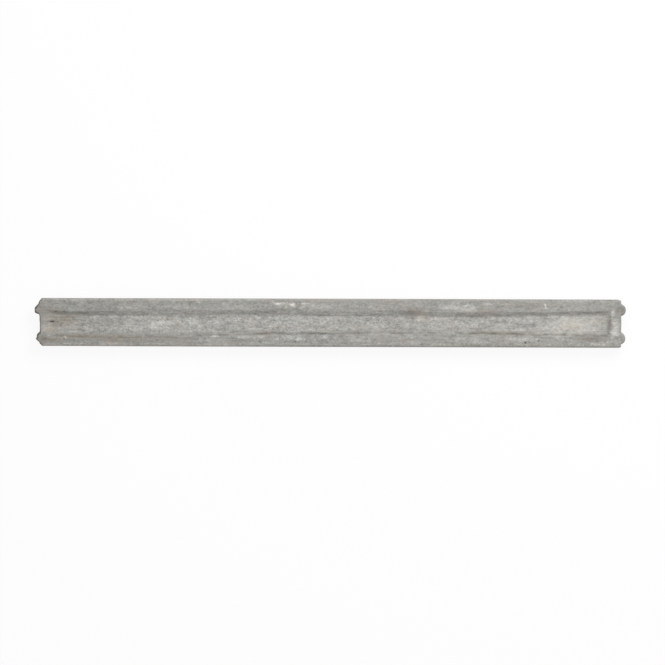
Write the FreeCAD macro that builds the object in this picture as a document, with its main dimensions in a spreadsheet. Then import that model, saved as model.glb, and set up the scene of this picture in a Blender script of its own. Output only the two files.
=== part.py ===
"""Recessed concrete gravel board for the foot of a slotted-post fence.

The board is one casting, made face down in a tray mould and trowelled off at the back.  It lies here
on that flat back with the recessed face up.  X runs along the board, Y across it and Z through its
thickness, and the origin is the middle of the back.  All sizes are in millimetres and degrees.
"""
import FreeCAD
import Part
import Sketcher
import os

# Each driving dimension: its alias in the sheet, its value and what it measures.
DRIVING_SIZES = [
    ("board_length", 1800, "end face to end face at the back, without the nibs"),
    ("board_width", 150, "long edge to long edge at the back"),
    ("board_thickness", 50, "back to face"),
    ("draft_angle", 2, "lean of the edges and nibs, so that the casting leaves its mould"),
    ("corner_radius", 9, "rounding of the four corners, seen from the front"),
    ("arris_chamfer", 5, "chamfer round the outline of the face"),
    ("nib_radius", 20, "radius of the round nibs on the ends, at the back"),
    ("nib_reach", 15, "how far a nib stands out from the end face"),
    ("nib_root_radius", 3, "hollow between a nib and the end face"),
    ("nib_shoulder", 1.5, "flat of the end face between a corner and the nib beside it"),
    ("rail_width", 38, "long edge of the board to the recess"),
    ("end_border", 30, "end face of the board to the recess"),
    ("recess_depth", 12, "face to the floor of the recess"),
    ("recess_side_bevel", 9, "width of the sloping long walls, seen from the front"),
    ("recess_end_bevel", 12, "width of the sloping end walls, seen from the front"),
    ("recess_corner_radius", 8, "rounding where two recess walls meet"),
    ("recess_root_radius", 4, "hollow between the recess walls and floor"),
    ("recess_rim_radius", 2, "rounded edge between the face and the recess walls"),
]

# Sizes that follow from the driving ones, as expressions on the sheet.
FACE_HEIGHT = "sizes.board_thickness"
FLOOR_HEIGHT = "sizes.board_thickness - sizes.recess_depth"
OPENING_LENGTH = "sizes.board_length - 2 * sizes.end_border"
OPENING_WIDTH = "sizes.board_width - 2 * sizes.rail_width"
SIDE_WALL_LEAN = "atan(sizes.recess_side_bevel / sizes.recess_depth)"
END_WALL_LEAN = "atan(sizes.recess_end_bevel / sizes.recess_depth)"
NIB_CENTRE_X = "sizes.board_length / 2 + sizes.nib_reach - sizes.nib_radius"
# A nib's root hollow touches the end face this far to either side of the nib's centre.
NIB_ROOT_SPAN = (
    "sqrt((sizes.nib_radius + sizes.nib_root_radius) ^ 2"
    " - (sizes.nib_radius - sizes.nib_reach + sizes.nib_root_radius) ^ 2)"
)
NIB_CENTRE_Y = f"sizes.board_width / 2 - sizes.corner_radius - sizes.nib_shoulder - {NIB_ROOT_SPAN}"

# How a sketch numbers its own axes, and the points of a line or circle in it.
X_AXIS, Y_AXIS = range(-1, -3, -1)
START, END, CENTRE = range(1, 4)
ORIGIN_POINT = (X_AXIS, START)

TOLERANCE = 0.01
PARTS_FOLDER = "parts"


def fill_sheet(document):
    """Puts the driving dimensions in a sheet, one alias each."""
    sheet = document.addObject("Spreadsheet::Sheet", "sizes")
    for row, (alias, value, meaning) in enumerate(DRIVING_SIZES, start=1):
        sheet.set(f"A{row}", meaning)
        sheet.set(f"B{row}", str(value))
        sheet.setAlias(f"B{row}", alias)
    document.recompute()


def back_plane(body):
    """The body's own origin plane, which holds the back of the board."""
    return next(item for item in body.Origin.OriginFeatures if item.Role == "XY_Plane")


def plan_sketch(body, name, height=None):
    """A sketch on the board's plan, at the back or at a height above it."""
    sketch = body.newObject("Sketcher::SketchObject", name)
    sketch.AttachmentSupport = (back_plane(body), [""])
    sketch.MapMode = "FlatFace"
    if height:
        sketch.setExpression("AttachmentOffset.Base.z", height)
    return sketch


def dimension(sketch, name, expression, kind, *where):
    """Adds a dimension to a sketch and ties it to an expression on the sheet."""
    value = float(sketch.evalExpression(expression))
    index = sketch.addConstraint(Sketcher.Constraint(kind, *where, value))
    sketch.renameConstraint(index, name)
    sketch.setExpression(f"Constraints.{name}", expression)


def centred_rectangle(sketch, length, width):
    """Draws a rectangle about the sketch's origin; length and width are expressions."""
    half_length = sketch.evalExpression(length) / 2
    half_width = sketch.evalExpression(width) / 2
    corners = [
        FreeCAD.Vector(-half_length, -half_width, 0),
        FreeCAD.Vector(half_length, -half_width, 0),
        FreeCAD.Vector(half_length, half_width, 0),
        FreeCAD.Vector(-half_length, half_width, 0),
    ]
    sides = [
        sketch.addGeometry(Part.LineSegment(corner, following))
        for corner, following in zip(corners, corners[1:] + corners[:1])
    ]
    bottom, right, top, left = sides
    for side, following in zip(sides, sides[1:] + sides[:1]):
        sketch.addConstraint(Sketcher.Constraint("Coincident", side, END, following, START))
    for side in (bottom, top):
        sketch.addConstraint(Sketcher.Constraint("Horizontal", side))
    for side in (left, right):
        sketch.addConstraint(Sketcher.Constraint("Vertical", side))
    sketch.addConstraint(Sketcher.Constraint("Symmetric", bottom, START, top, START, *ORIGIN_POINT))
    dimension(sketch, "length", length, "DistanceX", bottom, START, bottom, END)
    dimension(sketch, "width", width, "DistanceY", right, START, right, END)


def four_nib_circles(sketch):
    """Draws the nibs' circles, two at each end, mirrored about both middle lines of the board."""
    x = sketch.evalExpression(NIB_CENTRE_X)
    y = sketch.evalExpression(NIB_CENTRE_Y)
    radius = sketch.evalExpression("sizes.nib_radius")
    upward = FreeCAD.Vector(0, 0, 1)
    right_top, left_top, left_bottom, right_bottom = [
        sketch.addGeometry(Part.Circle(FreeCAD.Vector(centre_x, centre_y, 0), upward, radius))
        for centre_x, centre_y in [(x, y), (-x, y), (-x, -y), (x, -y)]
    ]
    for circle in (left_top, left_bottom, right_bottom):
        sketch.addConstraint(Sketcher.Constraint("Equal", right_top, circle))
    for one, other, axis in [
        (right_top, left_top, Y_AXIS),
        (right_bottom, left_bottom, Y_AXIS),
        (right_top, right_bottom, X_AXIS),
    ]:
        sketch.addConstraint(Sketcher.Constraint("Symmetric", one, CENTRE, other, CENTRE, axis))
    dimension(sketch, "radius", "sizes.nib_radius", "Radius", right_top)
    dimension(sketch, "centre_x", NIB_CENTRE_X, "DistanceX", *ORIGIN_POINT, right_top, CENTRE)
    dimension(sketch, "centre_y", NIB_CENTRE_Y, "DistanceY", *ORIGIN_POINT, right_top, CENTRE)


def board_pad(body, name, sketch):
    """Raises a sketch from the back to the face."""
    pad = body.newObject("PartDesign::Pad", name)
    pad.Profile = sketch
    pad.setExpression("Length", "sizes.board_thickness")
    body.Document.recompute()
    return pad


def lean_feature(body, name, base, faces, neutral_plane, angle):
    """Leans the named faces, turning each about the line it cuts on the neutral plane."""
    draft = body.newObject("PartDesign::Draft", name)
    draft.Base = (base, faces)
    draft.NeutralPlane = neutral_plane
    draft.setExpression("Angle", angle)
    body.Document.recompute()
    return draft


def edge_feature(body, kind, name, base, picked, size_property, size):
    """A fillet or chamfer on the picked edges or faces of the feature before it."""
    feature = body.newObject(f"PartDesign::{kind}", name)
    feature.Base = (base, picked)
    feature.setExpression(size_property, size)
    body.Document.recompute()
    return feature


def edges_where(feature, keep):
    """The names of the feature's edges that keep() accepts."""
    return [f"Edge{n}" for n, edge in enumerate(feature.Shape.Edges, start=1) if keep(edge)]


def faces_where(feature, keep):
    """The names of the feature's faces that keep() accepts."""
    return [f"Face{n}" for n, face in enumerate(feature.Shape.Faces, start=1) if keep(face)]


def level_face(feature, height):
    """The name of the feature's one face that lies level at a height above the back."""
    level = float(feature.evalExpression(height))

    def lies_level(face):
        box = face.BoundBox
        return abs(box.ZMin - level) < TOLERANCE and abs(box.ZMax - level) < TOLERANCE

    return faces_where(feature, lies_level)[0]


def upright_faces(feature):
    """The faces that run from the back to the face of the board."""
    thickness = feature.evalExpression("sizes.board_thickness")
    return faces_where(feature, lambda face: face.BoundBox.ZLength > thickness - TOLERANCE)


def upright_edges_between(feature, surfaces):
    """The upright edges whose two faces lie on surfaces of the given kinds."""
    thickness = feature.evalExpression("sizes.board_thickness")

    def joins_surfaces(edge):
        faces = feature.Shape.ancestorsOfType(edge, Part.Face)
        upright = edge.BoundBox.ZLength > thickness - TOLERANCE
        return upright and sorted(type(face.Surface).__name__ for face in faces) == surfaces

    return edges_where(feature, joins_surfaces)


def corner_edges(feature):
    """The upright edges where a long edge of the board meets an end face."""
    return upright_edges_between(feature, ["Plane", "Plane"])


def nib_root_edges(feature):
    """The upright edges where a round nib meets an end face."""
    return upright_edges_between(feature, ["Cone", "Plane"])


def in_opening(feature, item):
    """Whether an edge or face of the feature lies within the recess opening."""
    half_length = feature.evalExpression(OPENING_LENGTH) / 2 + TOLERANCE
    half_width = feature.evalExpression(OPENING_WIDTH) / 2 + TOLERANCE
    box = item.BoundBox
    within_length = max(-box.XMin, box.XMax) < half_length
    within_width = max(-box.YMin, box.YMax) < half_width
    return within_length and within_width


def recess_walls(feature, keep):
    """The faces of the recess that stand on its floor and that keep() accepts."""

    def is_wall(face):
        return face.BoundBox.ZLength > TOLERANCE and in_opening(feature, face)

    return faces_where(feature, lambda face: is_wall(face) and keep(face))


def recess_side_walls(feature):
    """The two long walls of the recess."""
    return recess_walls(feature, lambda face: face.BoundBox.XLength > face.BoundBox.YLength)


def recess_end_walls(feature):
    """The two short walls of the recess."""
    return recess_walls(feature, lambda face: face.BoundBox.XLength < face.BoundBox.YLength)


def recess_corner_edges(feature):
    """The sloping edges where two recess walls meet."""
    depth = feature.evalExpression("sizes.recess_depth")

    def joins_walls(edge):
        return edge.BoundBox.ZLength > depth - TOLERANCE and in_opening(feature, edge)

    return edges_where(feature, joins_walls)


def recess_rim_edges(feature):
    """The edges where the recess walls meet the face."""
    face_height = feature.evalExpression(FACE_HEIGHT)

    def joins_face(edge):
        return edge.BoundBox.ZMin > face_height - TOLERANCE and in_opening(feature, edge)

    return edges_where(feature, joins_face)


def cast_outline(body):
    """The slab with its end nibs, rounded corners and chamfered face."""
    slab_plan = plan_sketch(body, "slab_plan")
    centred_rectangle(slab_plan, "sizes.board_length", "sizes.board_width")
    board_pad(body, "slab", slab_plan)
    nib_plan = plan_sketch(body, "nib_plan")
    four_nib_circles(nib_plan)
    nibs = board_pad(body, "nibs", nib_plan)
    draft = lean_feature(
        body, "mould_draft", nibs, upright_faces(nibs), (back_plane(body), [""]), "sizes.draft_angle"
    )

    corners = edge_feature(
        body, "Fillet", "corners", draft, corner_edges(draft), "Radius", "sizes.corner_radius"
    )
    nib_roots = edge_feature(
        body, "Fillet", "nib_roots", corners, nib_root_edges(corners),
        "Radius", "sizes.nib_root_radius",
    )
    edge_feature(
        body, "Chamfer", "face_arris", nib_roots, [level_face(nib_roots, FACE_HEIGHT)],
        "Size", "sizes.arris_chamfer",
    )


def face_recess(body):
    """The sloping-walled panel sunk in the face, with rounded corners, root and rim."""
    opening_plan = plan_sketch(body, "opening_plan", FACE_HEIGHT)
    centred_rectangle(opening_plan, OPENING_LENGTH, OPENING_WIDTH)
    recess = body.newObject("PartDesign::Pocket", "recess")
    recess.Profile = opening_plan
    recess.setExpression("Length", "sizes.recess_depth")
    body.Document.recompute()

    face = (recess, [level_face(recess, FACE_HEIGHT)])
    sides = lean_feature(body, "side_walls", recess, recess_side_walls(recess), face, SIDE_WALL_LEAN)
    face = (sides, [level_face(sides, FACE_HEIGHT)])
    ends = lean_feature(body, "end_walls", sides, recess_end_walls(sides), face, END_WALL_LEAN)
    corners = edge_feature(
        body, "Fillet", "recess_corners", ends, recess_corner_edges(ends),
        "Radius", "sizes.recess_corner_radius",
    )
    root = edge_feature(
        body, "Fillet", "recess_root", corners, [level_face(corners, FLOOR_HEIGHT)],
        "Radius", "sizes.recess_root_radius",
    )
    return edge_feature(
        body, "Fillet", "recess_rim", root, recess_rim_edges(root),
        "Radius", "sizes.recess_rim_radius",
    )


def check_document(document):
    """Stops the build if a feature failed or a sub-part isn't one valid solid."""
    for item in document.Objects:
        if "Invalid" in item.State or "Error" in item.State:
            raise RuntimeError(f"{item.Name} failed: {item.State}")
    for body in document.findObjects("PartDesign::Body"):
        shape = body.Shape
        if shape.isNull() or not shape.isValid() or len(shape.Solids) != 1:
            raise RuntimeError(f"{body.Label} isn't one valid solid")


def main():
    document = FreeCAD.newDocument("gravel_board")
    fill_sheet(document)
    board = document.addObject("PartDesign::Body", "board")
    board.Label = "gravel_board"
    cast_outline(board)
    board.Tip = face_recess(board)
    document.recompute()
    check_document(document)

    os.makedirs(PARTS_FOLDER, exist_ok=True)
    for body in document.findObjects("PartDesign::Body"):
        body.Shape.exportStep(os.path.join(PARTS_FOLDER, f"{body.Label}.step"))
        box = body.Shape.BoundBox
        print(body.Label, box, f"volume {body.Shape.Volume:.0f} mm3")


main()
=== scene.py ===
"""The looks of the concrete gravel board: a weathered casting lying on its back, seen from above.

The board is one mesh, worked out from the casting's own sizes: a grid over the face and another over
the back, joined by rings round the edge.  Uneven edges, wear, holes and a broken end are worked into it.
Masks for soil, marks, painted light and painted shade are stored on the mesh and read by one concrete
material.  Everything is in metres, with X along the board, Y across it and Z up.
"""

import math
from typing import NamedTuple

import bpy
import numpy as np
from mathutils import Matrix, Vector, noise


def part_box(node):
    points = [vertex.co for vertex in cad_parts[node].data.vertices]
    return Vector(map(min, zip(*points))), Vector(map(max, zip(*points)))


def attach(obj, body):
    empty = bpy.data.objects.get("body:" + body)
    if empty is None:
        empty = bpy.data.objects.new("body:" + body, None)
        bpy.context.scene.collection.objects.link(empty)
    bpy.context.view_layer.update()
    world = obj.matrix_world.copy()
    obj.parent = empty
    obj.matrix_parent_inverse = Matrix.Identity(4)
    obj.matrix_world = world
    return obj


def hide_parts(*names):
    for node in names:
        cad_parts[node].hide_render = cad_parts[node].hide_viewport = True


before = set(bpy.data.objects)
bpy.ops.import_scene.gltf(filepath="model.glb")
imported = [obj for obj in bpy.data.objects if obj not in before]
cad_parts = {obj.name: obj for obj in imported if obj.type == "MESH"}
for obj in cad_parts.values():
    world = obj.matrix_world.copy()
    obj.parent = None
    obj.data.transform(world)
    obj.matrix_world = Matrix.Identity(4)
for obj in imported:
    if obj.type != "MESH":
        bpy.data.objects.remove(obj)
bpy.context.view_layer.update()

# Sizes of the casting
NODE = "gravel_board"
HALF_REACH, HALF_WIDTH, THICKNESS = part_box(NODE)[1]
NIB_REACH = 0.015
NIB_RADIUS = 0.020
NIB_ROOT_RADIUS = 0.003
NIB_SHOULDER = 0.0015
CORNER_RADIUS = 0.009
ARRIS_CHAMFER = 0.005
DRAFT_SLOPE = math.tan(math.radians(2))
RAIL_WIDTH = 0.038
END_BORDER = 0.030
RECESS_DEPTH = 0.012
RECESS_SIDE_BEVEL = 0.009
RECESS_END_BEVEL = 0.012

HALF_LENGTH = HALF_REACH - NIB_REACH
OPENING_HALF_LENGTH = HALF_LENGTH - END_BORDER
OPENING_HALF_WIDTH = HALF_WIDTH - RAIL_WIDTH
FACE_OFFSET = THICKNESS * DRAFT_SLOPE + ARRIS_CHAMFER
NIB_ROOT_FALL = NIB_RADIUS - NIB_REACH + NIB_ROOT_RADIUS
NIB_ROOT_SPAN = math.sqrt((NIB_RADIUS + NIB_ROOT_RADIUS) ** 2 - NIB_ROOT_FALL ** 2)
NIB_ROOT_TURN = math.atan2(NIB_ROOT_SPAN, -NIB_ROOT_FALL)
NIB_CENTRE = (
    HALF_REACH - NIB_RADIUS,
    HALF_WIDTH - CORNER_RADIUS - NIB_SHOULDER - NIB_ROOT_SPAN,
)

# Steps of the grid: half the columns along the board and half the rows across it, so many up to each
# stop.  They are finer over the walls of the recess and a little to both sides of them.
END_RIM_MARGIN = 0.002
END_ROOT_MARGIN = 0.008
SIDE_RIM_MARGIN = 0.005
SIDE_ROOT_MARGIN = 0.006
BORDER_START = OPENING_HALF_LENGTH + END_RIM_MARGIN
COLUMN_STOPS = [
    (OPENING_HALF_LENGTH - RECESS_END_BEVEL - END_ROOT_MARGIN, 312),
    (BORDER_START, 16),
    (HALF_LENGTH - CORNER_RADIUS, 12),
]
ROW_STOPS = [
    (OPENING_HALF_WIDTH - RECESS_SIDE_BEVEL - SIDE_ROOT_MARGIN, 10),
    (OPENING_HALF_WIDTH + SIDE_RIM_MARGIN, 18),
    (HALF_WIDTH - FACE_OFFSET, 14),
]
# Steps of the outline round half an end, from its middle to the long edge, as many as half the rows
MIDDLE_STEPS = 8
NIB_ROOT_STEPS = 4
NIB_STEPS = 20
SHOULDER_STEPS = 1
CORNER_STEPS = 5
# Rings up the edge and up its chamfer, and rows of the face for each row of the back
SIDE_RINGS = 12
CHAMFER_RINGS = 3
BACK_ROW_STEP = 6


class Uneven(NamedTuple):
    """Smooth noise: how strong it is, the size of its grains along X, Y and Z, and its seed."""

    strength: float
    grain: tuple
    seed: int


class Lean(NamedTuple):
    """A stretch of the outline cast out of place: where, how far round and by how much."""

    place: tuple
    reach: float
    shift: tuple


class Mark(NamedTuple):
    """A patch on the face: its middle, its half length and half width, and its strength from 0 to 1."""

    x: float
    y: float
    length: float
    width: float
    strength: float


# How the casting strays from its drawing.  The long edges of the recess wander: place along the board
# and shift outwards.
UPPER_STRAY = [
    (-0.87, -0.0025), (-0.80, -0.0048), (-0.74, -0.0050), (-0.65, -0.0048), (-0.45, -0.0050),
    (-0.22, -0.0020), (-0.08, -0.0055), (0.10, -0.0060), (0.22, -0.0035), (0.34, -0.0070),
    (0.46, -0.0060), (0.65, -0.0035), (0.78, -0.0005), (0.87, 0.0005),
]
LOWER_STRAY = [
    (-0.87, 0.0070), (-0.77, 0.0120), (-0.46, 0.0120), (-0.40, 0.0090), (-0.30, 0.0030),
    (-0.20, 0.0000), (0.00, -0.0015), (0.15, -0.0040), (0.40, -0.0045), (0.55, -0.0020),
    (0.70, 0.0015), (0.85, 0.0050),
]
RAGGED_EDGES = [Uneven(0.0012, (0.05, 1, 1), 21), Uneven(0.0009, (0.018, 1, 1), 22)]
# The recess's right end wall is further in, and its left one is further out and longer
RIGHT_END_STRAY = 0.003
LEFT_END_STRAY = 0.006
LEFT_END_BEVEL = 0.026
# The board narrows by a share between two places towards its left end
LEFT_END_TAPER = 0.006
LEFT_TAPER_SPAN = (-0.4, -0.9)
# The recess's long walls are worn wider, and its rim, root and corners are soft
SIDE_WEAR = 0.0012
RIM_STEEPNESS = 9
ROOT_STEEPNESS = 4
CORNER_STEEPNESS = 7
# Nibs and corners that are out of place
LEANING = [
    Lean((-0.9090, 0.0285), 0.012, (-0.0048, 0.0000)),
    Lean((-0.9000, 0.0635), 0.006, (-0.0018, 0.0000)),
    Lean((0.9050, 0.0430), 0.034, (-0.0012, -0.0020)),
    Lean((0.9050, -0.0430), 0.034, (-0.0033, -0.0044)),
    Lean((0.8945, -0.0742), 0.007, (0.0022, 0.0000)),
]

# The left end is broken: its outline on the floor, as places across the board and along it
BROKEN_END = [
    (-0.0750, -0.8910), (-0.0728, -0.8930), (-0.0660, -0.8990), (-0.0630, -0.9003), (-0.0575, -0.9078),
    (-0.0515, -0.9120), (-0.0480, -0.9087), (-0.0395, -0.9082), (-0.0285, -0.8992), (-0.0100, -0.8990),
    (0.0150, -0.9005), (0.0225, -0.9025), (0.0270, -0.9115), (0.0295, -0.9155), (0.0400, -0.9155),
    (0.0470, -0.9135), (0.0570, -0.9038), (0.0640, -0.9022), (0.0750, -0.8925),
]
BREAK_LEAN = 0.16
BREAK_ROUGHNESS = [Uneven(0.0014, (1, 0.011, 0.014), 6), Uneven(0.0008, (1, 0.004, 0.005), 7)]

# Wear
RELIEF = [
    Uneven(0.00050, (0.30, 0.09, 0.09), 1),
    Uneven(0.00020, (0.12, 0.007, 0.02), 2),
    Uneven(0.00028, (0.010, 0.008, 0.008), 3),
]
RELIEF_OFF_FACE = 0.4
BREAKS = Uneven(0.0026, (0.045, 0.030, 0.030), 4)
CRUMBS = Uneven(0.0011, (0.012, 0.010, 0.010), 5)
DEEPEST_BREAK = 0.0026
# Distances from the ends at which breaks begin and are in full
BREAKS_FADE = (0.006, 0.030)
ARRIS_WEAR = 0.0002
ARRIS_RETREAT = 0.4
ARRIS_FADE = 0.003
RIM_WEAR_SHARE = 0.65
RIM_MIDDLE = 0.08
RIM_WIDTH = 0.12
# Air holes, with depths and floors as shares of their radius
AIR_HOLES = 380
AIR_HOLE_SEED = 11
AIR_HOLE_RADII = (0.0018, 0.0042)
AIR_HOLE_DEPTHS = (0.25, 0.60)
AIR_HOLE_FLOOR = 0.3
AIR_HOLE_MARGIN = 0.006

# Small pits, painted dark as shade in them and as soil, with their reach and floor as shares of their size
PIT_DEPTH = 0.003
PIT_REACH = 1.4
PIT_FLOOR = 0.3
PITS = [
    Mark(-0.8570, 0.0017, 0.0086, 0.0025, 1.00),
    Mark(-0.8410, 0.0000, 0.0040, 0.0024, 0.50),
    Mark(-0.8290, -0.0050, 0.0034, 0.0026, 0.45),
    Mark(-0.8320, -0.0110, 0.0034, 0.0036, 0.40),
    Mark(-0.8210, 0.0060, 0.0030, 0.0026, 0.35),
    Mark(-0.7930, 0.0120, 0.0030, 0.0034, 0.35),
    Mark(-0.8110, 0.0160, 0.0026, 0.0050, 0.35),
    Mark(-0.8200, 0.0640, 0.0036, 0.0030, 0.40),
    Mark(-0.8200, 0.0335, 0.0036, 0.0036, 0.50),
    Mark(-0.8470, 0.0325, 0.0060, 0.0026, 0.35),
    Mark(-0.8200, -0.0517, 0.0030, 0.0050, 0.40),
    Mark(-0.8785, -0.0520, 0.0050, 0.0036, 0.30),
    Mark(-0.2160, -0.0600, 0.0060, 0.0040, 0.40),
    Mark(-0.1450, -0.0500, 0.0040, 0.0060, 0.40),
    Mark(-0.1080, -0.0580, 0.0050, 0.0050, 0.40),
    Mark(0.2440, 0.0350, 0.0060, 0.0030, 0.30),
    Mark(0.3770, -0.0650, 0.0050, 0.0030, 0.40),
    Mark(0.6020, -0.0600, 0.0034, 0.0032, 0.90),
    Mark(0.6430, -0.0540, 0.0030, 0.0046, 0.55),
    Mark(0.6530, -0.0560, 0.0024, 0.0040, 0.35),
]

# How pale the panel is, how much painted light lifts the shade of the upper wall of the recess, and how
# dark the line along each long wall is, dirt on the lower one: place along the board and strength
PANEL_BLOOM = [(-0.87, 0.22), (-0.72, 0.22), (-0.60, 0.27), (0.87, 0.27)]
UPPER_WALL_PAINTED_LIGHT = [
    (-0.87, 0.15), (-0.72, 0.25), (-0.55, 0.36), (-0.43, 0.48), (-0.36, 0.36), (-0.16, 0.46),
    (0.30, 0.36), (0.45, 0.22), (0.87, 0.26),
]
BLOOM_AND_LIGHT_NOISE = Uneven(0.15, (0.09, 0.016, 0.02), 32)
UPPER_WALL_DARKENING = [
    (-0.87, 0.10), (-0.82, 0.25), (-0.80, 0.45), (-0.745, 0.48), (-0.70, 0.18), (-0.55, 0.10),
    (-0.35, 0.00), (0.30, 0.00), (0.45, 0.10), (0.60, 0.15), (0.85, 0.20),
]
LOWER_DIRT = [
    (-0.87, 0.38), (-0.60, 0.36), (-0.45, 0.18), (-0.30, 0.32), (-0.20, 0.40), (-0.12, 0.26),
    (0.02, 0.36), (0.20, 0.38), (0.28, 0.22), (0.40, 0.26), (0.46, 0.48), (0.58, 0.48),
    (0.64, 0.48), (0.85, 0.64),
]
# The dark line on each wall, dirt on the lower one: its middle and width, as shares of the recess's depth,
# and where it fades
UPPER_DARK_LINE = 0.40
LOWER_DIRT_LINE = 0.32
UPPER_DARK_WIDTH = 0.28
LOWER_DIRT_WIDTH = 0.36
WALL_LINE_RIM = 0.15
WALL_LINE_END_FADE = 0.03
WALL_LINE_WANDER = Uneven(0.25, (0.040, 0.100, 0.100), 33)
WALL_LINE_CLUMPS = [Uneven(0.3, (0.06, 0.012, 0.02), 31), Uneven(0.5, (0.018, 0.009, 0.02), 34)]
# Painted light and painted shade on the arrises, a highlight on the upper one's left part, light on the
# lower one and shade on the upper one further right: place along the board and strength
UPPER_ARRIS_HIGHLIGHT = [(-0.885, 0.10), (-0.86, 0.30), (-0.60, 0.45), (-0.25, 0.30), (-0.12, 0.00)]
LOWER_ARRIS_PAINTED_LIGHT = [
    (-0.885, 0.20), (-0.86, 1.00), (-0.35, 1.00), (-0.27, 0.40), (0.55, 0.45), (0.80, 0.70),
    (0.885, 0.70), (0.895, 0.00),
]
UPPER_ARRIS_SHADE = [(-0.20, 0.00), (-0.05, 0.25), (0.55, 0.25), (0.75, 0.10), (0.86, 0.00)]

# Grime and painted shade on the ends and on what is broken, and grime in what is hollow.  On the break:
# place across the board and strength.
LEFT_NIB_GRIME_AND_SHADE = 0.90
RIGHT_NIB_GRIME_AND_SHADE = 0.35
LEFT_ARRIS_GRIME_AND_SHADE = 0.20
LEFT_ARRIS_WIDTH = 0.010
END_DARKENING_FADE = 0.004
BREAK_GRIME_AND_SHADE = [
    (-0.075, 0.60), (-0.055, 0.90), (-0.045, 0.50), (-0.034, 0.65), (-0.026, 0.10), (0.022, 0.10),
    (0.027, 1.00), (0.062, 1.00), (0.075, 0.20),
]
HOLE_GRIME = 0.5
GRIMY_HOLE_DEPTH = 0.006
BARE_BREAK_DEPTH = 0.002

# The panel: the share of the recess's depth from which it begins, and where its calmer right part begins
PANEL_FROM = 0.80
RIGHT_PANEL_SPAN = (0.55, 0.72)

# Strength of the grain in the concrete's colour
FACE_GRAIN = 0.90
PANEL_GRAIN = 1.02
RIGHT_PANEL_GRAIN = 0.60

# Chalky bloom, on the panel, on the right border, on the upper rail and on the lower one, and then
# smaller patches over the whole face
BLOOM = [
    Mark(-0.872, -0.022, 0.030, 0.026, 0.66),
    Mark(-0.790, -0.018, 0.075, 0.012, 0.45),
    Mark(-0.740, -0.020, 0.100, 0.014, 0.44),
    Mark(-0.620, -0.020, 0.070, 0.010, 0.42),
    Mark(-0.525, -0.007, 0.080, 0.029, 0.60),
    Mark(-0.440, -0.002, 0.080, 0.026, 0.44),
    Mark(-0.290, 0.010, 0.160, 0.030, 0.50),
    Mark(-0.225, 0.014, 0.060, 0.010, 0.56),
    Mark(-0.120, 0.014, 0.160, 0.030, 0.52),
    Mark(-0.090, -0.022, 0.090, 0.012, 0.50),
    Mark(0.020, 0.016, 0.070, 0.014, 0.42),
    Mark(0.110, 0.016, 0.080, 0.012, 0.46),
    Mark(0.278, 0.012, 0.045, 0.020, 0.52),
    Mark(0.330, 0.014, 0.060, 0.016, 0.45),
    Mark(0.410, -0.004, 0.080, 0.022, 0.30),
    Mark(0.560, 0.004, 0.100, 0.024, 0.30),
    Mark(0.615, 0.018, 0.050, 0.010, 0.45),
    Mark(0.740, 0.000, 0.150, 0.044, 0.58),
    Mark(0.790, -0.016, 0.090, 0.014, 0.62),
    Mark(0.877, -0.026, 0.018, 0.020, 1.00),
    Mark(0.872, 0.031, 0.010, 0.014, 0.60),
    Mark(0.875, 0.003, 0.012, 0.011, 0.80),
    Mark(-0.610, 0.044, 0.080, 0.010, 0.30),
    Mark(-0.430, 0.048, 0.100, 0.014, 0.28),
    Mark(-0.280, 0.052, 0.140, 0.018, 0.32),
    Mark(-0.070, 0.050, 0.100, 0.014, 0.32),
    Mark(0.375, 0.047, 0.075, 0.016, 0.48),
    Mark(0.435, 0.046, 0.040, 0.012, 0.42),
    Mark(-0.400, -0.056, 0.040, 0.010, 0.35),
    Mark(-0.260, -0.044, 0.060, 0.008, 0.35),
    Mark(-0.216, -0.046, 0.030, 0.008, 0.60),
    Mark(-0.120, -0.046, 0.090, 0.014, 0.38),
    Mark(-0.016, -0.044, 0.022, 0.011, 0.60),
    Mark(0.090, -0.052, 0.080, 0.014, 0.30),
    Mark(0.250, -0.050, 0.060, 0.014, 0.25),
    Mark(0.400, -0.048, 0.060, 0.014, 0.25),
    Mark(0.600, -0.049, 0.080, 0.012, 0.36),
    Mark(0.700, -0.045, 0.040, 0.008, 0.30),
    Mark(0.845, -0.065, 0.080, 0.012, 0.58),
    Mark(-0.190, -0.016, 0.045, 0.010, 0.45),
    Mark(-0.135, 0.056, 0.045, 0.012, 0.50),
    Mark(0.100, 0.060, 0.045, 0.010, 0.40),
    Mark(0.200, -0.008, 0.028, 0.012, 0.40),
    Mark(0.455, -0.058, 0.022, 0.010, 0.40),
    Mark(0.500, 0.057, 0.035, 0.010, 0.45),
    Mark(0.752, -0.010, 0.040, 0.016, 0.68),
]
# Warm cream patches
CREAM = [
    Mark(-0.868, -0.024, 0.026, 0.020, 0.55),
    Mark(0.285, 0.016, 0.034, 0.014, 0.40),
    Mark(0.490, 0.019, 0.040, 0.008, 0.35),
    Mark(0.765, -0.006, 0.115, 0.036, 0.36),
]
# Hard white scuffs
SCUFFS = [
    Mark(-0.156, 0.0585, 0.020, 0.0042, 0.64),
    Mark(-0.114, 0.0540, 0.011, 0.0100, 0.62),
    Mark(-0.078, 0.0580, 0.026, 0.0036, 0.60),
    Mark(-0.816, -0.0460, 0.006, 0.0050, 0.45),
    Mark(-0.355, -0.0420, 0.020, 0.0040, 0.70),
    Mark(0.664, 0.0550, 0.005, 0.0110, 0.50),
    Mark(-0.405, 0.0640, 0.009, 0.0034, 0.45),
    Mark(0.385, 0.0600, 0.020, 0.0024, 0.40),
    Mark(0.420, 0.0530, 0.008, 0.0050, 0.50),
    Mark(-0.145, -0.0460, 0.008, 0.0050, 0.45),
    Mark(-0.098, -0.0500, 0.014, 0.0060, 0.35),
]
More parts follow.
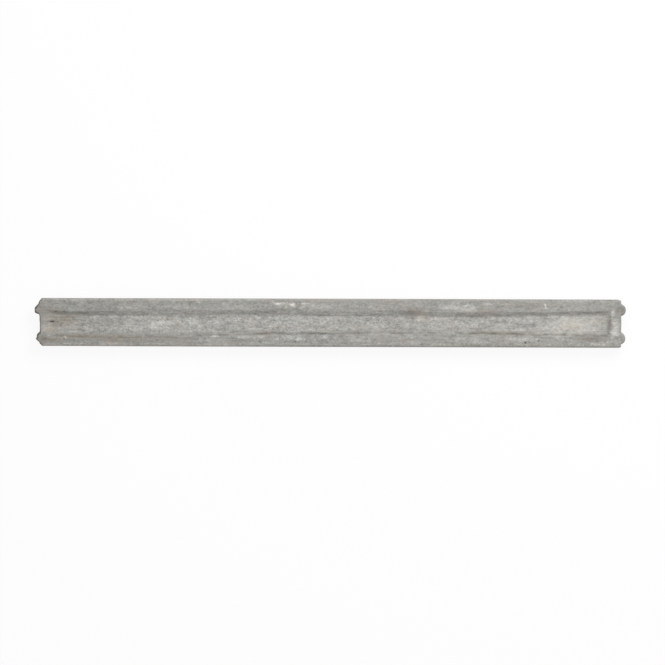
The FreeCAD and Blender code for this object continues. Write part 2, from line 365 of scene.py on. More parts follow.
# Brown earth and rust stains
STAINS = [
    Mark(-0.881, -0.0500, 0.018, 0.0120, 0.70),
    Mark(-0.868, -0.0260, 0.024, 0.0220, 0.42),
    Mark(-0.860, 0.0340, 0.055, 0.0160, 0.42),
    Mark(-0.855, -0.0540, 0.060, 0.0120, 0.50),
    Mark(-0.830, 0.0020, 0.080, 0.0300, 0.45),
    Mark(-0.805, 0.0160, 0.040, 0.0120, 0.50),
    Mark(-0.750, -0.0440, 0.120, 0.0120, 0.50),
    Mark(-0.640, -0.0500, 0.120, 0.0160, 0.42),
    Mark(-0.490, -0.0480, 0.090, 0.0120, 0.38),
    Mark(-0.270, -0.0540, 0.080, 0.0120, 0.30),
    Mark(-0.232, 0.0630, 0.055, 0.0035, 0.35),
    Mark(-0.190, -0.0330, 0.090, 0.0070, 0.40),
    Mark(0.198, 0.0640, 0.045, 0.0035, 0.50),
    Mark(0.237, -0.0510, 0.026, 0.0080, 0.45),
    Mark(0.262, 0.0340, 0.040, 0.0120, 0.60),
    Mark(0.290, 0.0100, 0.022, 0.0330, 0.22),
    Mark(0.440, 0.0200, 0.040, 0.0080, 0.40),
    Mark(0.480, 0.0340, 0.100, 0.0090, 0.40),
    Mark(0.525, -0.0310, 0.130, 0.0080, 0.50),
    Mark(0.615, 0.0560, 0.080, 0.0150, 0.35),
    Mark(0.735, -0.0080, 0.040, 0.0280, 0.20),
    Mark(0.802, -0.0470, 0.050, 0.0120, 0.45),
    Mark(0.860, -0.0040, 0.013, 0.0480, 0.22),
]
# Dark patches of grime, and darker marks in the crease round the lower right nib's root
SPOTS = [
    Mark(-0.890, 0.0450, 0.030, 0.0240, 0.30),
    Mark(-0.885, -0.0560, 0.030, 0.0180, 0.36),
    Mark(-0.860, 0.0240, 0.050, 0.0120, 0.28),
    Mark(-0.846, -0.0040, 0.010, 0.0060, 0.25),
    Mark(-0.835, 0.0330, 0.030, 0.0050, 0.25),
    Mark(-0.840, 0.0660, 0.055, 0.0040, 0.25),
    Mark(-0.830, 0.0120, 0.040, 0.0120, 0.25),
    Mark(-0.620, 0.0580, 0.150, 0.0100, 0.12),
    Mark(-0.410, 0.0645, 0.070, 0.0025, 0.30),
    Mark(0.090, -0.0130, 0.075, 0.0140, 0.25),
    Mark(0.500, -0.0170, 0.050, 0.0100, 0.20),
    Mark(0.255, 0.0370, 0.014, 0.0050, 0.30),
    Mark(0.300, -0.0500, 0.050, 0.0100, 0.15),
    Mark(0.807, -0.0460, 0.052, 0.0140, 0.28),
    Mark(0.862, 0.0000, 0.009, 0.0340, 0.36),
    Mark(0.860, 0.0470, 0.034, 0.0120, 0.22),
    # Darker in the crease round the lower right nib's root
    Mark(0.886, -0.0460, 0.008, 0.0060, 0.45),
    Mark(0.893, -0.0640, 0.006, 0.0070, 0.50),
    Mark(0.902, 0.0420, 0.034, 0.0260, 0.44),
    # Darker in the crease round the lower right nib's root
    Mark(0.899, -0.0500, 0.007, 0.0060, 0.45),
]
BLOOM_SEED, SCUFF_SEED, STAIN_SEED, SPOT_SEED, CREAM_SEED = 40, 80, 100, 130, 160
# How far a mark reaches, in shares of its size, and how ragged its edge is
MARK_REACH = 1.35
MARK_WIDE_RAGGEDNESS = 0.30
MARK_FINE_RAGGEDNESS = 0.25
MARK_GRAIN_HEIGHT = 0.05
MARK_WIDE_GRAIN_SHARES = (0.4, 0.7)
MARK_FINE_GRAIN = (0.012, 0.006, MARK_GRAIN_HEIGHT)


def spaced(stops):
    """Positions from 0 to the last stop, with so many even steps up to each."""
    positions = [0.0]
    for stop, steps in stops:
        positions.extend(np.linspace(positions[-1], stop, steps + 1)[1:])
    return np.array(positions)


def mirrored(half):
    return np.concatenate([-half[:0:-1], half])


COLUMNS = mirrored(spaced(COLUMN_STOPS))
ROWS = mirrored(spaced(ROW_STOPS))


def smooth_step(low, high, value):
    """0 below low, 1 above high and a smooth rise between them; low may be the larger."""
    share = np.clip((value - low) / (high - low), 0, 1)
    return share * share * (3 - 2 * share)


def hump(value, middle, width):
    """1 at the middle, falling away to both sides."""
    return np.exp(-((value - middle) / width) ** 2)


def along(stops, x):
    """The value at x on a line through the stops."""
    return np.interp(x, *np.transpose(stops))


def noise_at(points, grain, seed):
    """Smooth noise from about -1 to 1, with grains of the given size along X, Y and Z."""
    seed_step = 17.3
    scaled = points / np.array(grain) + seed_step * seed
    return np.array([noise.noise(point) for point in scaled.tolist()])


def uneven(points, *kinds):
    return sum(kind.strength * noise_at(points, kind.grain, kind.seed) for kind in kinds)


# The outline, seen from above


def arc(centre, radius, start, end, steps):
    angles = np.linspace(start, end, steps + 1)[1:]
    return np.column_stack(
        [centre[0] + radius * np.cos(angles), centre[1] + radius * np.sin(angles)]
    )


def line(start, end, steps):
    return np.linspace(start, end, steps + 1)[1:]


def right_end(offset):
    """The right end's outline from the lower long edge to the upper one, moved in by the offset."""
    end_x = HALF_LENGTH - offset
    nib_y = NIB_CENTRE[1]
    root_x = HALF_LENGTH + NIB_ROOT_RADIUS
    root_radius = NIB_ROOT_RADIUS + offset
    lower_root_y = nib_y - NIB_ROOT_SPAN
    upper_root_y = nib_y + NIB_ROOT_SPAN
    corner = (HALF_LENGTH - CORNER_RADIUS, HALF_WIDTH - CORNER_RADIUS)
    nib_turn = math.pi - NIB_ROOT_TURN
    upper_half = np.vstack([
        line((end_x, 0), (end_x, lower_root_y), MIDDLE_STEPS),
        arc((root_x, lower_root_y), root_radius, math.pi, NIB_ROOT_TURN, NIB_ROOT_STEPS),
        arc(NIB_CENTRE, NIB_RADIUS - offset, -nib_turn, nib_turn, NIB_STEPS),
        arc((root_x, upper_root_y), root_radius, math.pi + nib_turn, math.pi, NIB_ROOT_STEPS),
        line((end_x, upper_root_y), (end_x, corner[1]), SHOULDER_STEPS),
        arc(corner, CORNER_RADIUS - offset, 0, math.pi / 2, CORNER_STEPS),
    ])
    lower_half = upper_half[::-1] * (1, -1)
    return np.vstack([lower_half, [(end_x, 0)], upper_half])


def lean(outline, leaning):
    """Moves what is near the place, less with distance."""
    distance = np.hypot(*(outline - leaning.place).T)
    return outline + np.outer(smooth_step(leaning.reach, 0, distance), leaning.shift)


def broken_off(outline, height):
    """How much the breaks took off the left end's outline at a height."""
    beside = np.column_stack([np.zeros(len(outline)), outline[:, 1], np.full(len(outline), height)])
    break_x = along(BROKEN_END, outline[:, 1]) + BREAK_LEAN * height + uneven(beside, *BREAK_ROUGHNESS)
    return np.maximum(break_x - outline[:, 0], 0)


def grid_plan(offset, height):
    """Columns and rows of points that fill the outline at a height, moved in by the offset.

    Each point has its place along the board, its place across it and how much a break took off there.
    """
    rows = ROWS * (HALF_WIDTH - offset) / ROWS[-1]
    plan = np.zeros((len(COLUMNS), len(ROWS), 3))
    plan[..., 0] = COLUMNS[:, None]
    plan[..., 1] = rows[None, :]
    right = right_end(offset)
    left = right * (-1, 1)
    for leaning in LEANING:
        right = lean(right, leaning)
        left = lean(left, leaning)
    plan[0, :, 2] = broken_off(left, height)
    left[:, 0] += plan[0, :, 2]
    for column, x in enumerate(COLUMNS):
        share = (abs(x) - BORDER_START) / (COLUMNS[-1] - BORDER_START)
        if share > 0:
            straight = np.column_stack([np.full(len(rows), np.copysign(BORDER_START, x)), rows])
            plan[column, :, :2] = (1 - share) * straight + share * (right if x > 0 else left)
    return plan


def rim(grid):
    """The outer points of a grid, anticlockwise from the lower left corner."""
    return np.concatenate([grid[:-1, 0], grid[-1, :-1], grid[:0:-1, -1], grid[0, :0:-1]])


# The board as cast


def recess_share(x, y):
    """Depth of the recess below the face, from 0 on the rails to 1 on its floor."""
    from_side = (OPENING_HALF_WIDTH + SIDE_WEAR - np.abs(y)) / (RECESS_SIDE_BEVEL + 2 * SIDE_WEAR)
    from_right = (OPENING_HALF_LENGTH - RIGHT_END_STRAY - x) / RECESS_END_BEVEL
    from_left = (OPENING_HALF_LENGTH + LEFT_END_STRAY + x) / LEFT_END_BEVEL
    from_end = np.minimum(from_right, from_left)
    inwards = -np.logaddexp(-CORNER_STEEPNESS * from_side, -CORNER_STEEPNESS * from_end) / CORNER_STEEPNESS
    rim_bend = np.logaddexp(0, RIM_STEEPNESS * inwards) / RIM_STEEPNESS
    root_bend = np.logaddexp(0, ROOT_STEEPNESS * (inwards - 1)) / ROOT_STEEPNESS
    return rim_bend - root_bend


def edge_levels():
    """Heights and offsets of the rings round the edge, from the back up to the face."""
    chamfer_foot = THICKNESS - ARRIS_CHAMFER
    heights = np.linspace(0, chamfer_foot, SIDE_RINGS + 1)
    offsets = heights * DRAFT_SLOPE
    chamfer_heights = np.linspace(chamfer_foot, THICKNESS, CHAMFER_RINGS + 1)[1:]
    chamfer_offsets = np.linspace(offsets[-1], FACE_OFFSET, CHAMFER_RINGS + 1)[1:]
    return np.concatenate([heights, chamfer_heights]), np.concatenate([offsets, chamfer_offsets])


def quads(lower, upper):
    """Faces between two rows of point numbers that run the same way."""
    return np.stack([lower[:-1], lower[1:], upper[1:], upper[:-1]], axis=-1).reshape(-1, 4)


def stray(x, y):
    """How far a point of the face shifts along Y, so that the recess edges wander as cast."""
    wall_middle = OPENING_HALF_WIDTH - RECESS_SIDE_BEVEL / 2
    board_edge = HALF_WIDTH - FACE_OFFSET
    share = np.interp(np.abs(y), [0, wall_middle, board_edge], [0, 1, 0])
    shift = np.where(y > 0, along(UPPER_STRAY, x), -along(LOWER_STRAY, x))
    beside = np.column_stack([x.ravel(), np.sign(y.ravel()), np.zeros(x.size)])
    return share * (shift + uneven(beside, *RAGGED_EDGES).reshape(x.shape))


def cast_board():
    """Points and faces of the unworn board, what broke off at each point, and the face's recess shares."""
    heights, offsets = edge_levels()
    face = grid_plan(offsets[-1], THICKNESS)
    shares = recess_share(face[..., 0], face[..., 1])
    face[..., 1] += stray(face[..., 0], face[..., 1])
    back = grid_plan(0, 0)
    rings = [rim(grid_plan(offset, height)) for height, offset in zip(heights[1:-1], offsets[1:-1])]
    plan = np.vstack([face.reshape(-1, 3), back.reshape(-1, 3), *rings])
    levels = np.concatenate([
        THICKNESS - RECESS_DEPTH * shares.ravel(),
        np.zeros(shares.size),
        np.repeat(heights[1:-1], len(rings[0])),
    ])
    points = np.column_stack([plan[:, :2], levels, plan[:, 2]])

    face_count = shares.size
    face_numbers = np.arange(face_count).reshape(shares.shape)
    back_numbers = face_numbers + face_count
    ring_size = len(rings[0])
    ring_numbers = 2 * face_count + np.arange(len(rings) * ring_size).reshape(-1, ring_size)
    ladder = np.vstack([rim(back_numbers), ring_numbers, rim(face_numbers)])
    ladder = np.column_stack([ladder, ladder[:, 0]])
    sides = [quads(lower, upper) for lower, upper in zip(ladder[:-1], ladder[1:])]
    faces = np.vstack([quads(face_numbers.T[:-1].T, face_numbers.T[1:].T), *sides]).tolist()
    faces += back_faces(back_numbers)
    used_points, faces = without_loose(points, faces)
    return used_points[:, :3], faces, used_points[:, 3], shares.ravel()


def back_faces(numbers):
    """Faces of the back in coarse rows, joined to every point of the two ends."""
    coarse = numbers[1:-1, ::BACK_ROW_STEP]
    faces = quads(coarse.T[1:].T, coarse.T[:-1].T).tolist()
    for row in range(coarse.shape[1] - 1):
        low = row * BACK_ROW_STEP
        high = low + BACK_ROW_STEP + 1
        faces.append(numbers[0, low:high].tolist() + [coarse[0, row + 1], coarse[0, row]])
        faces.append(numbers[-1, low:high][::-1].tolist() + [coarse[-1, row], coarse[-1, row + 1]])
    return faces


def without_loose(points, faces):
    """The points that a face uses, and the faces numbered to match."""
    used = np.zeros(len(points), bool)
    for face in faces:
        used[face] = True
    numbers = np.cumsum(used) - 1
    return points[used], [numbers[face].tolist() for face in faces]


# Relief and wear


def air_holes(points):
    """Depth of small round air holes strewn over the face."""
    strewn = np.random.default_rng(AIR_HOLE_SEED)
    depth = np.zeros(len(points))
    border = FACE_OFFSET + AIR_HOLE_MARGIN
    half_length = HALF_LENGTH - border
    half_width = HALF_WIDTH - border
    for _ in range(AIR_HOLES):
        x = strewn.uniform(-half_length, half_length)
        y = strewn.uniform(-half_width, half_width)
        radius = strewn.uniform(*AIR_HOLE_RADII)
        bottom = radius * strewn.uniform(*AIR_HOLE_DEPTHS)
        distance = np.hypot(points[:, 0] - x, points[:, 1] - y)
        depth = np.maximum(depth, bottom * smooth_step(radius, AIR_HOLE_FLOOR * radius, distance))
    return depth


def pits(points):
    """How strong the small pits are at each point."""
    depth = np.zeros(len(points))
    for pit in PITS:
        distance = np.hypot((points[:, 0] - pit.x) / pit.length, (points[:, 1] - pit.y) / pit.width)
        depth = np.maximum(depth, pit.strength * smooth_step(PIT_REACH, PIT_FLOOR, distance))
    return depth


def face_arris(points):
    """1 on the arrises round the face, fading away over a few millimetres."""
    x, y, z = np.abs(points).T
    inside = np.minimum(HALF_WIDTH - y, HALF_LENGTH - x) - FACE_OFFSET
    below = THICKNESS - ARRIS_CHAMFER - z
    return np.exp(-(np.maximum(inside, 0) + np.maximum(below, 0)) / ARRIS_FADE)


def weathered(points, normals, shares):
    """The points after wear, and the depth of the holes in the face.  The face wears straight down."""
    on_face = np.arange(len(points)) < len(shares)
    shares = np.pad(shares, (0, len(points) - len(shares)))
    relief = sum(kind.strength + uneven(points, kind) for kind in RELIEF)
    broken = sum(np.maximum(uneven(points, kind), 0) for kind in (BREAKS, CRUMBS))
    from_end = HALF_LENGTH - np.abs(points[:, 0])
    broken = np.minimum(broken, DEEPEST_BREAK) * smooth_step(*BREAKS_FADE, from_end)
    off_arris = face_arris(points) * (ARRIS_WEAR + broken)
    off_rim = np.where(on_face, hump(shares, RIM_MIDDLE, RIM_WIDTH), 0) * RIM_WEAR_SHARE * broken
    holes = np.where(on_face, np.maximum(air_holes(points), PIT_DEPTH * pits(points)), 0)
    outwards = np.where(on_face[:, None], (0, 0, 1), RELIEF_OFF_FACE * normals)
    worn = points - relief[:, None] * outwards
    worn[:, 1] -= ARRIS_RETREAT * np.sign(points[:, 1]) * off_arris
    worn[:, 2] -= off_arris + off_rim + holes
    worn[:, 1] *= 1 - LEFT_END_TAPER * smooth_step(*LEFT_TAPER_SPAN, worn[:, 0])
    return worn, holes


# Masks for dirt, marks, painted light and painted shade


def patch(points, mark, seed):
    """The mark's strength in its middle, fading out to a ragged edge."""
    distance = np.hypot((points[:, 0] - mark.x) / mark.length, (points[:, 1] - mark.y) / mark.width)
    near = distance < MARK_REACH + MARK_WIDE_RAGGEDNESS + MARK_FINE_RAGGEDNESS
    length_share, width_share = MARK_WIDE_GRAIN_SHARES
    wide_grain = (length_share * mark.length, width_share * mark.width, MARK_GRAIN_HEIGHT)
    ragged = uneven(
        points[near],
        Uneven(MARK_WIDE_RAGGEDNESS, wide_grain, seed),
        Uneven(MARK_FINE_RAGGEDNESS, MARK_FINE_GRAIN, seed),
    )
    mask = np.zeros(len(points))
    mask[near] = mark.strength * smooth_step(MARK_REACH, 0, distance[near] + ragged)
    return mask


def patches(points, marks, seed):
    return np.maximum.reduce([patch(points, mark, seed + number) for number, mark in enumerate(marks)])


def wall_lines(face, shares):
    """A darker line along each long wall of the recess, heavier in places; on the lower wall it is soil."""
    x, y, _ = face.T
    along_sides = smooth_step(0, WALL_LINE_END_FADE, OPENING_HALF_LENGTH - np.abs(x))
    below_rim = smooth_step(0, WALL_LINE_RIM, shares)
    middle = np.where(y > 0, UPPER_DARK_LINE, LOWER_DIRT_LINE) + uneven(face, WALL_LINE_WANDER)
    width = np.where(y > 0, UPPER_DARK_WIDTH, LOWER_DIRT_WIDTH)
    in_line = hump(shares, middle, width) * below_rim * along_sides
    # Strength of the line: dirt on the lower wall, a darkening on the upper one
    line_strength = np.where(y > 0, along(UPPER_WALL_DARKENING, x), along(LOWER_DIRT, x))
    return in_line * np.clip(line_strength + uneven(face, *WALL_LINE_CLUMPS), 0, 1)


def face_bloom_and_light(face, shares, panel):
    """Chalky paleness on the panel, and painted light that lifts the shade of the upper wall of the recess.
    """
    x, y, _ = face.T
    # Painted light on the upper wall of the recess, which lies in shade
    upper_wall = np.where(y > 0, 4 * shares * (1 - shares), 0)
    paleness_noise = uneven(face, BLOOM_AND_LIGHT_NOISE)
    return np.maximum(
        panel * (along(PANEL_BLOOM, x) + paleness_noise),
        upper_wall * (along(UPPER_WALL_PAINTED_LIGHT, x) + paleness_noise),
    )


def end_grime_and_shade(points):
    """Grime and painted shade on the left end's arris and on the rims of the nibs, most on the left end."""
    x, y, _ = points.T
    to_nib = np.hypot(np.abs(x) - NIB_CENTRE[0], np.abs(y) - NIB_CENTRE[1])
    from_rim = NIB_RADIUS - to_nib
    past_end = smooth_step(END_DARKENING_FADE, 0, HALF_LENGTH - np.abs(x))
    nib_rim = past_end * smooth_step(2 * END_DARKENING_FADE, END_DARKENING_FADE, from_rim)
    left_arris = smooth_step(LEFT_ARRIS_WIDTH, END_DARKENING_FADE, HALF_LENGTH + x)
    # Painted shade, with grime, on the nibs' rims, heavier on the left end, which faces away from the key
    # light
    nib_grime_and_shade = np.where(x < 0, LEFT_NIB_GRIME_AND_SHADE, RIGHT_NIB_GRIME_AND_SHADE) * nib_rim
    return np.maximum(nib_grime_and_shade, LEFT_ARRIS_GRIME_AND_SHADE * left_arris)


def face_masks(face, shares, holes):
    """The share of each layer of paint at each point of the face, and how its grain differs there."""
    panel = smooth_step(PANEL_FROM, 1, shares)
    in_holes = np.clip(holes / GRIMY_HOLE_DEPTH, 0, 1) * HOLE_GRIME
    right_panel = panel * smooth_step(*RIGHT_PANEL_SPAN, face[:, 0])
    return {
        "bloom_and_light": np.maximum(patches(face, BLOOM, BLOOM_SEED), face_bloom_and_light(face, shares, panel)),
        "cream": patches(face, CREAM, CREAM_SEED),
        "scuff": patches(face, SCUFFS, SCUFF_SEED),
        "stain_and_arris_shade": patches(face, STAINS, STAIN_SEED),
        "grime_and_shade": np.maximum.reduce([wall_lines(face, shares), patches(face, SPOTS, SPOT_SEED), in_holes]),
        "pit": pits(face),
        "grain": (PANEL_GRAIN - FACE_GRAIN) * panel + (RIGHT_PANEL_GRAIN - PANEL_GRAIN) * right_panel,
    }


def masks(points, shares, holes, lost, ends):
    """The share of each layer of paint at each point, and the strength of the grain there."""
    face_count = len(shares)
    found = {
        name: np.pad(mask, (0, len(points) - face_count))
        for name, mask in face_masks(points[:face_count], shares, holes[:face_count]).items()
    }
    x, y, _ = points.T
    arris = face_arris(points)
    # Painted light on the arrises' chamfers, and painted shade on the upper one, which goes in with the
    # stains
    pale = np.where(y > 0, along(UPPER_ARRIS_HIGHLIGHT, x), along(LOWER_ARRIS_PAINTED_LIGHT, x))
    arris_shade = np.where(y > 0, along(UPPER_ARRIS_SHADE, x), 0)
    # Broken faces get grime and painted shade, as they face away from the key light
    found["broken"] = smooth_step(0, BARE_BREAK_DEPTH, lost) * along(BREAK_GRIME_AND_SHADE, y)
    found["arris"] = arris * pale
    found["stain_and_arris_shade"] = np.maximum(found["stain_and_arris_shade"], arris * arris_shade)
    found["grime_and_shade"] = np.maximum.reduce([found["grime_and_shade"], ends, found["broken"]])
    found["grain"] += FACE_GRAIN
    return found


def normals_of(mesh):
    normals = np.empty(3 * len(mesh.vertices))
    mesh.vertex_normals.foreach_get("vector", normals)
    return normals.reshape(-1, 3)


def make_board():
    clean, faces, lost, shares = cast_board()
    mesh = bpy.data.meshes.new(NODE)
    mesh.from_pydata(clean.tolist(), [], faces)
    points, holes = weathered(clean, normals_of(mesh), shares)
    mesh.vertices.foreach_set("co", points.ravel())
    mesh.update()
    mesh.shade_smooth()
    for name, mask in masks(points, shares, holes, lost, end_grime_and_shade(clean)).items():
        mesh.attributes.new(name, "FLOAT", "POINT").data.foreach_set("value", mask)
    mesh.materials.append(concrete())
    board = bpy.data.objects.new("weathered_board", mesh)
    bpy.context.scene.collection.objects.link(board)
    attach(board, "root")
    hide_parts(NODE)


# Concrete


class Texture(NamedTuple):
    """Noise in the concrete: its grains' size along X, Y and Z, its detail, roughness and strength."""

    grain: tuple
    detail: float
    roughness: float
    strength: float


class Grains(NamedTuple):
    """Round grains: their cells' spacing, usual radius as a share of it, share of the cells, strength."""

    spacing: float
    radius: float
    share: float
    strength: float


class Paint(NamedTuple):
    """A layer over the concrete: the mask that it follows, its colour and how ragged it is."""

    mask: str
    colour: tuple
    raggedness: float


def srgb(red, green, blue):
    """A colour from its 8-bit screen values."""
    shares = [value / 255 for value in (red, green, blue)]
    return tuple(s / 12.92 if s < 0.04045 else ((s + 0.055) / 1.055) ** 2.4 for s in shares) + (1,)


CEMENT = srgb(160, 159, 155)
PAINTS = [
    # Painted light on the arrises
    Paint("arris", srgb(180, 177, 170), 0.8),
    # Chalky bloom, and painted light on the upper wall of the recess
    Paint("bloom_and_light", srgb(203, 202, 198), 0.5),
    Paint("cream", srgb(197, 191, 179), 0.5),
    # Brown earth and rust stains, and painted shade on the upper arris
    Paint("stain_and_arris_shade", srgb(144, 134, 121), 0.9),
    # Grime, and painted shade on the ends, the nibs and the breaks
    Paint("grime_and_shade", srgb(112, 110, 101), 0.6),
    Paint("scuff", srgb(226, 224, 218), 1.2),
    # Painted shade in the pits, and soil
    Paint("pit", srgb(66, 58, 52), 0.4),
]
FULL_RAGGEDNESS_FROM = 1 / 3
WARM_TINT = (1.025, 0.995, 0.970, 1)
COOL_TINT = (0.985, 1.000, 1.000, 1)
HUE = Texture((0.045, 0.020, 0.020), 3.0, 0.5, 2.5)
CLOUDS = Texture((0.22, 0.07, 0.07), 3.0, 0.5, 0.35)
STREAKS = Texture((0.09, 0.006, 0.02), 3.0, 0.5, 0.50)
MOTTLE = Texture((0.020, 0.011, 0.011), 4.0, 0.5, 0.75)
SAND = Texture((0.0070, 0.0043, 0.0043), 4.0, 0.6, 1.30)
GRIT = Texture((0.0014, 0.0014, 0.0014), 3.0, 0.7, 1.00)
PORES = Grains(0.0075, 0.20, 0.30, -0.32)
PINHOLES = Grains(0.0030, 0.20, 0.25, -0.25)
SPECKS = Grains(0.0036, 0.32, 0.16, 0.15)
SMALLEST_GRAIN = 0.4
LARGEST_GRAIN = 1.5
GRAIN_CORE = 0.5
STONE_SPACING = 0.006
STONE_CONTRAST = 0.5
STONE_SHADE = 0.1
SAND_HEIGHT = 2.0
GRIT_HEIGHT = 2.5
BUMP_STRENGTH = 0.6
BUMP_DISTANCE = 0.0007
ROUGHNESS = 0.88
ROUGHNESS_CHANGE = 0.2
SPECULAR_LEVEL = 0.3


def add(tree, kind, inputs, **settings):
    """Adds a node; an input is a value or another node's socket."""
    made = tree.nodes.new(kind)
    for name, value in settings.items():
        setattr(made, name, value)
    for key, value in inputs.items():
        if isinstance(value, bpy.types.NodeSocket):
            tree.links.new(value, made.inputs[key])
        else:
            made.inputs[key].default_value = value
    return made


def add_math(tree, operation, *values):
    return add(tree, "ShaderNodeMath", dict(enumerate(values)), operation=operation).outputs[0]


def add_mix(tree, share, first, second):
    """Mixes two colours.  The node has sockets of the same name for each type, so they go by number."""
    first_colour, second_colour, mixed_colour = 6, 7, 2
    inputs = {"Factor": share, first_colour: first, second_colour: second}
    return add(tree, "ShaderNodeMix", inputs, data_type="RGBA").outputs[mixed_colour]


def add_noise(tree, place, texture):
    """Noise about 0."""
    per_metre = [1 / size for size in texture.grain]
    scaled = add(tree, "ShaderNodeVectorMath", {0: place, 1: per_metre}, operation="MULTIPLY")
    made = add(
        tree, "ShaderNodeTexNoise",
        {
            "Vector": scaled.outputs[0],
            "Scale": 1.0,
            "Detail": texture.detail,
            "Roughness": texture.roughness,
        },
    )
    return add_math(tree, "SUBTRACT", made.outputs["Fac"], 0.5)


def add_cells(tree, place, spacing):
    """Distance from the middle of the nearest cell, and two numbers from 0 to 1 that are the cell's own."""
    cells = add(tree, "ShaderNodeTexVoronoi", {"Vector": place, "Scale": 1 / spacing})
    picks = add(tree, "ShaderNodeSeparateColor", {"Color": cells.outputs["Color"]}).outputs
    return cells.outputs["Distance"], picks[0], picks[1]


def add_grains(tree, place, grains):
    """1 in the middle of round grains of many sizes and 0 between them."""
    distance, pick, size = add_cells(tree, place, grains.spacing)
    held = add_math(tree, "LESS_THAN", pick, grains.share)
    smallest = SMALLEST_GRAIN * grains.radius
    radius = add_math(tree, "MULTIPLY_ADD", size, LARGEST_GRAIN * grains.radius - smallest, smallest)
    round_grain = add(
        tree, "ShaderNodeMapRange",
        {"Value": add_math(tree, "DIVIDE", distance, radius), "From Min": 1.0, "From Max": GRAIN_CORE},
        interpolation_type="SMOOTHSTEP",
    )
    return add_math(tree, "MULTIPLY", round_grain.outputs[0], held)


def add_mask(tree, name):
    return add(tree, "ShaderNodeAttribute", {}, attribute_name=name).outputs["Fac"]


def add_ragged_mask(tree, paint, speckle):
    """A paint's mask, broken up by noise where it is neither full nor empty."""
    mask = add_mask(tree, paint.mask)
    shaken = add_math(tree, "MULTIPLY_ADD", speckle, paint.raggedness, mask)
    steep = add_math(tree, "DIVIDE", mask, FULL_RAGGEDNESS_FROM)
    faded = add_math(tree, "MULTIPLY", shaken, add_math(tree, "MINIMUM", steep, 1.0))
    return add(tree, "ShaderNodeClamp", {"Value": faded}).outputs[0]


def add_weighted(tree, start, parts):
    """Adds parts to a start, each multiplied by its strength."""
    total = start
    for part, strength in parts:
        total = add_math(tree, "MULTIPLY_ADD", part, strength, total)
    return total


def concrete():
    material = bpy.data.materials.new("concrete")
    material.use_nodes = True
    tree = material.node_tree
    shader = tree.nodes["Principled BSDF"]
    place = add(tree, "ShaderNodeTexCoord", {}).outputs["Object"]

    clouds, streaks, mottle, sand, grit = [
        add_noise(tree, place, texture) for texture in (CLOUDS, STREAKS, MOTTLE, SAND, GRIT)
    ]
    pores, pinholes, specks = [add_grains(tree, place, kind) for kind in (PORES, PINHOLES, SPECKS)]
    tone = add_weighted(tree, 1.0, [
        (clouds, CLOUDS.strength),
        (streaks, STREAKS.strength),
        (pores, PORES.strength),
        (pinholes, PINHOLES.strength),
        (specks, SPECKS.strength),
    ])
    grain = add_weighted(tree, 0.0, [
        (mottle, MOTTLE.strength),
        (sand, SAND.strength),
        (grit, GRIT.strength),
    ])
    tone = add_math(tree, "MULTIPLY_ADD", grain, add_mask(tree, "grain"), tone)
    _, stone, _ = add_cells(tree, place, STONE_SPACING)
    stones = add_math(tree, "MULTIPLY_ADD", stone, STONE_CONTRAST, -STONE_CONTRAST / 2 - STONE_SHADE)
    tone = add_math(tree, "MULTIPLY_ADD", stones, add_mask(tree, "broken"), tone)

    speckle = add_math(tree, "ADD", mottle, sand)
    colour = CEMENT
    for paint in PAINTS:
        colour = add_mix(tree, add_ragged_mask(tree, paint, speckle), colour, paint.colour)
    hue = add_math(tree, "MULTIPLY_ADD", add_noise(tree, place, HUE), HUE.strength, 0.5)
    tint = add_mix(tree, hue, COOL_TINT, WARM_TINT)
    tinted = add(tree, "ShaderNodeVectorMath", {0: colour, 1: tint}, operation="MULTIPLY")
    toned = add(tree, "ShaderNodeVectorMath", {0: tinted.outputs[0], "Scale": tone}, operation="SCALE")
    tree.links.new(toned.outputs[0], shader.inputs["Base Color"])

    bumps = add_weighted(tree, 0.0, [(sand, SAND_HEIGHT), (grit, GRIT_HEIGHT)])
    height = add_math(tree, "SUBTRACT", bumps, add_math(tree, "MAXIMUM", pores, pinholes))
    bump = add(
        tree, "ShaderNodeBump",
        {"Height": height, "Strength": BUMP_STRENGTH, "Distance": BUMP_DISTANCE},
    )
    tree.links.new(bump.outputs[0], shader.inputs["Normal"])
    roughness = add_math(tree, "MULTIPLY_ADD", mottle, ROUGHNESS_CHANGE, ROUGHNESS)
    tree.links.new(roughness, shader.inputs["Roughness"])
    shader.inputs["Specular IOR Level"].default_value = SPECULAR_LEVEL
    return material


# Floor, light and camera
FRAME_PIXELS = 665
METRES_PER_PIXEL = 0.003096
BOARD_CENTRE_PIXEL = (330.1, 322.82)
CAMERA_ROLL = math.radians(0.177)
CAMERA_LENS_MM = 200
CAMERA_REACH = 100
SENSOR_MM = 36
FLOOR_HALF_SIZE = 8
FLOOR_GAP = 0.0005
FLOOR_COLOUR = (0.95, 0.95, 0.95, 1)
FLOOR_ROUGHNESS = 0.9
FLOOR_GLOW = 0.90
WHITE = (1, 1, 1, 1)
SKY_STRENGTH = 0.60
KEY_PLACE = (1.6, 2.4, 3.0)
KEY_SIZE = 2.0
KEY_WATTS = 100


def make_floor():
    mesh = bpy.data.meshes.new("floor")
    size = FLOOR_HALF_SIZE
    corners = [(-size, -size), (size, -size), (size, size), (-size, size)]
    mesh.from_pydata([(x, y, -FLOOR_GAP) for x, y in corners], [], [(0, 1, 2, 3)])
    floor = bpy.data.objects.new("floor", mesh)
    bpy.context.scene.collection.objects.link(floor)
    mesh.materials.append(white_floor())


def add_seen(tree):
    """1 for rays that show the background: straight from the camera, mirrored or let through."""
    rays = add(tree, "ShaderNodeLightPath", {}).outputs
    mirrored_or_through = add_math(tree, "MAXIMUM", rays["Is Glossy Ray"], rays["Is Transmission Ray"])
    return add_math(tree, "MAXIMUM", rays["Is Camera Ray"], mirrored_or_through)


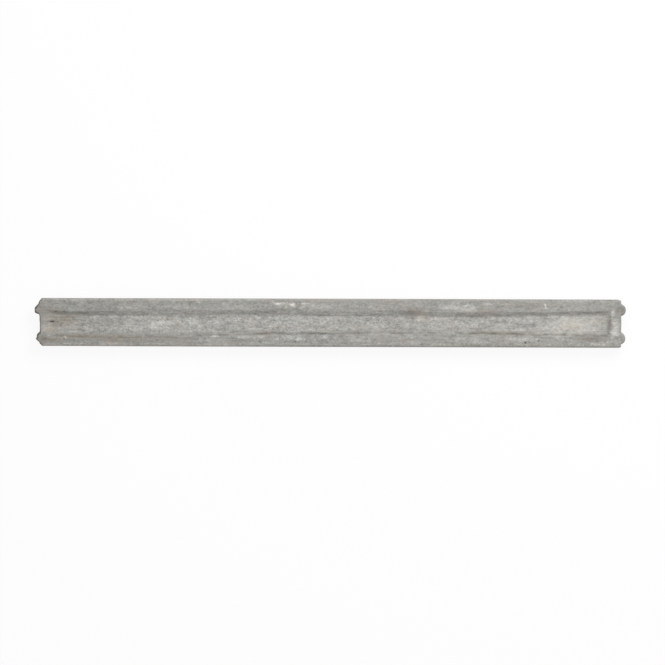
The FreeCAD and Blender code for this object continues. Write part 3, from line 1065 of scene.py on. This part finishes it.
def white_floor():
    """Pale floor that looks white and keeps a faint shadow."""
    material = bpy.data.materials.new("white_floor")
    material.use_nodes = True
    tree = material.node_tree
    shader = tree.nodes["Principled BSDF"]
    shader.inputs["Base Color"].default_value = FLOOR_COLOUR
    shader.inputs["Roughness"].default_value = FLOOR_ROUGHNESS
    glow = add(tree, "ShaderNodeEmission", {"Color": WHITE, "Strength": 1.0})
    share = add_math(tree, "MULTIPLY", add_seen(tree), FLOOR_GLOW)
    mixed = add(tree, "ShaderNodeMixShader", {0: share, 1: shader.outputs[0], 2: glow.outputs[0]})
    tree.links.new(mixed.outputs[0], tree.nodes["Material Output"].inputs["Surface"])
    return material


def make_sky():
    world = bpy.data.worlds.new("studio")
    world.use_nodes = True
    tree = world.node_tree
    background = tree.nodes["Background"]
    background.inputs["Color"].default_value = WHITE
    strength = add_math(tree, "MULTIPLY_ADD", add_seen(tree), 1 - SKY_STRENGTH, SKY_STRENGTH)
    tree.links.new(strength, background.inputs["Strength"])
    bpy.context.scene.world = world


def make_softbox():
    light = bpy.data.lights.new("key", "AREA")
    light.shape = "SQUARE"
    light.size = KEY_SIZE
    light.energy = KEY_WATTS
    lamp = bpy.data.objects.new("key", light)
    lamp.location = KEY_PLACE
    lamp.rotation_euler = (-Vector(KEY_PLACE)).to_track_quat("-Z", "Y").to_euler()
    bpy.context.scene.collection.objects.link(lamp)


def make_camera():
    camera = bpy.data.cameras.new("camera")
    camera.sensor_width = SENSOR_MM
    camera.lens = CAMERA_LENS_MM
    camera.clip_end = CAMERA_REACH
    holder = bpy.data.objects.new("camera", camera)
    middle = FRAME_PIXELS / 2
    right = (middle - BOARD_CENTRE_PIXEL[0]) * METRES_PER_PIXEL
    down = (middle - BOARD_CENTRE_PIXEL[1]) * METRES_PER_PIXEL
    distance = METRES_PER_PIXEL * FRAME_PIXELS * CAMERA_LENS_MM / SENSOR_MM
    holder.location = (right, -down, distance)
    holder.rotation_euler = (0, 0, CAMERA_ROLL)
    bpy.context.scene.collection.objects.link(holder)
    bpy.context.scene.camera = holder


make_board()
make_floor()
make_sky()
make_softbox()
make_camera()
bpy.context.scene.view_settings.view_transform = "Standard"
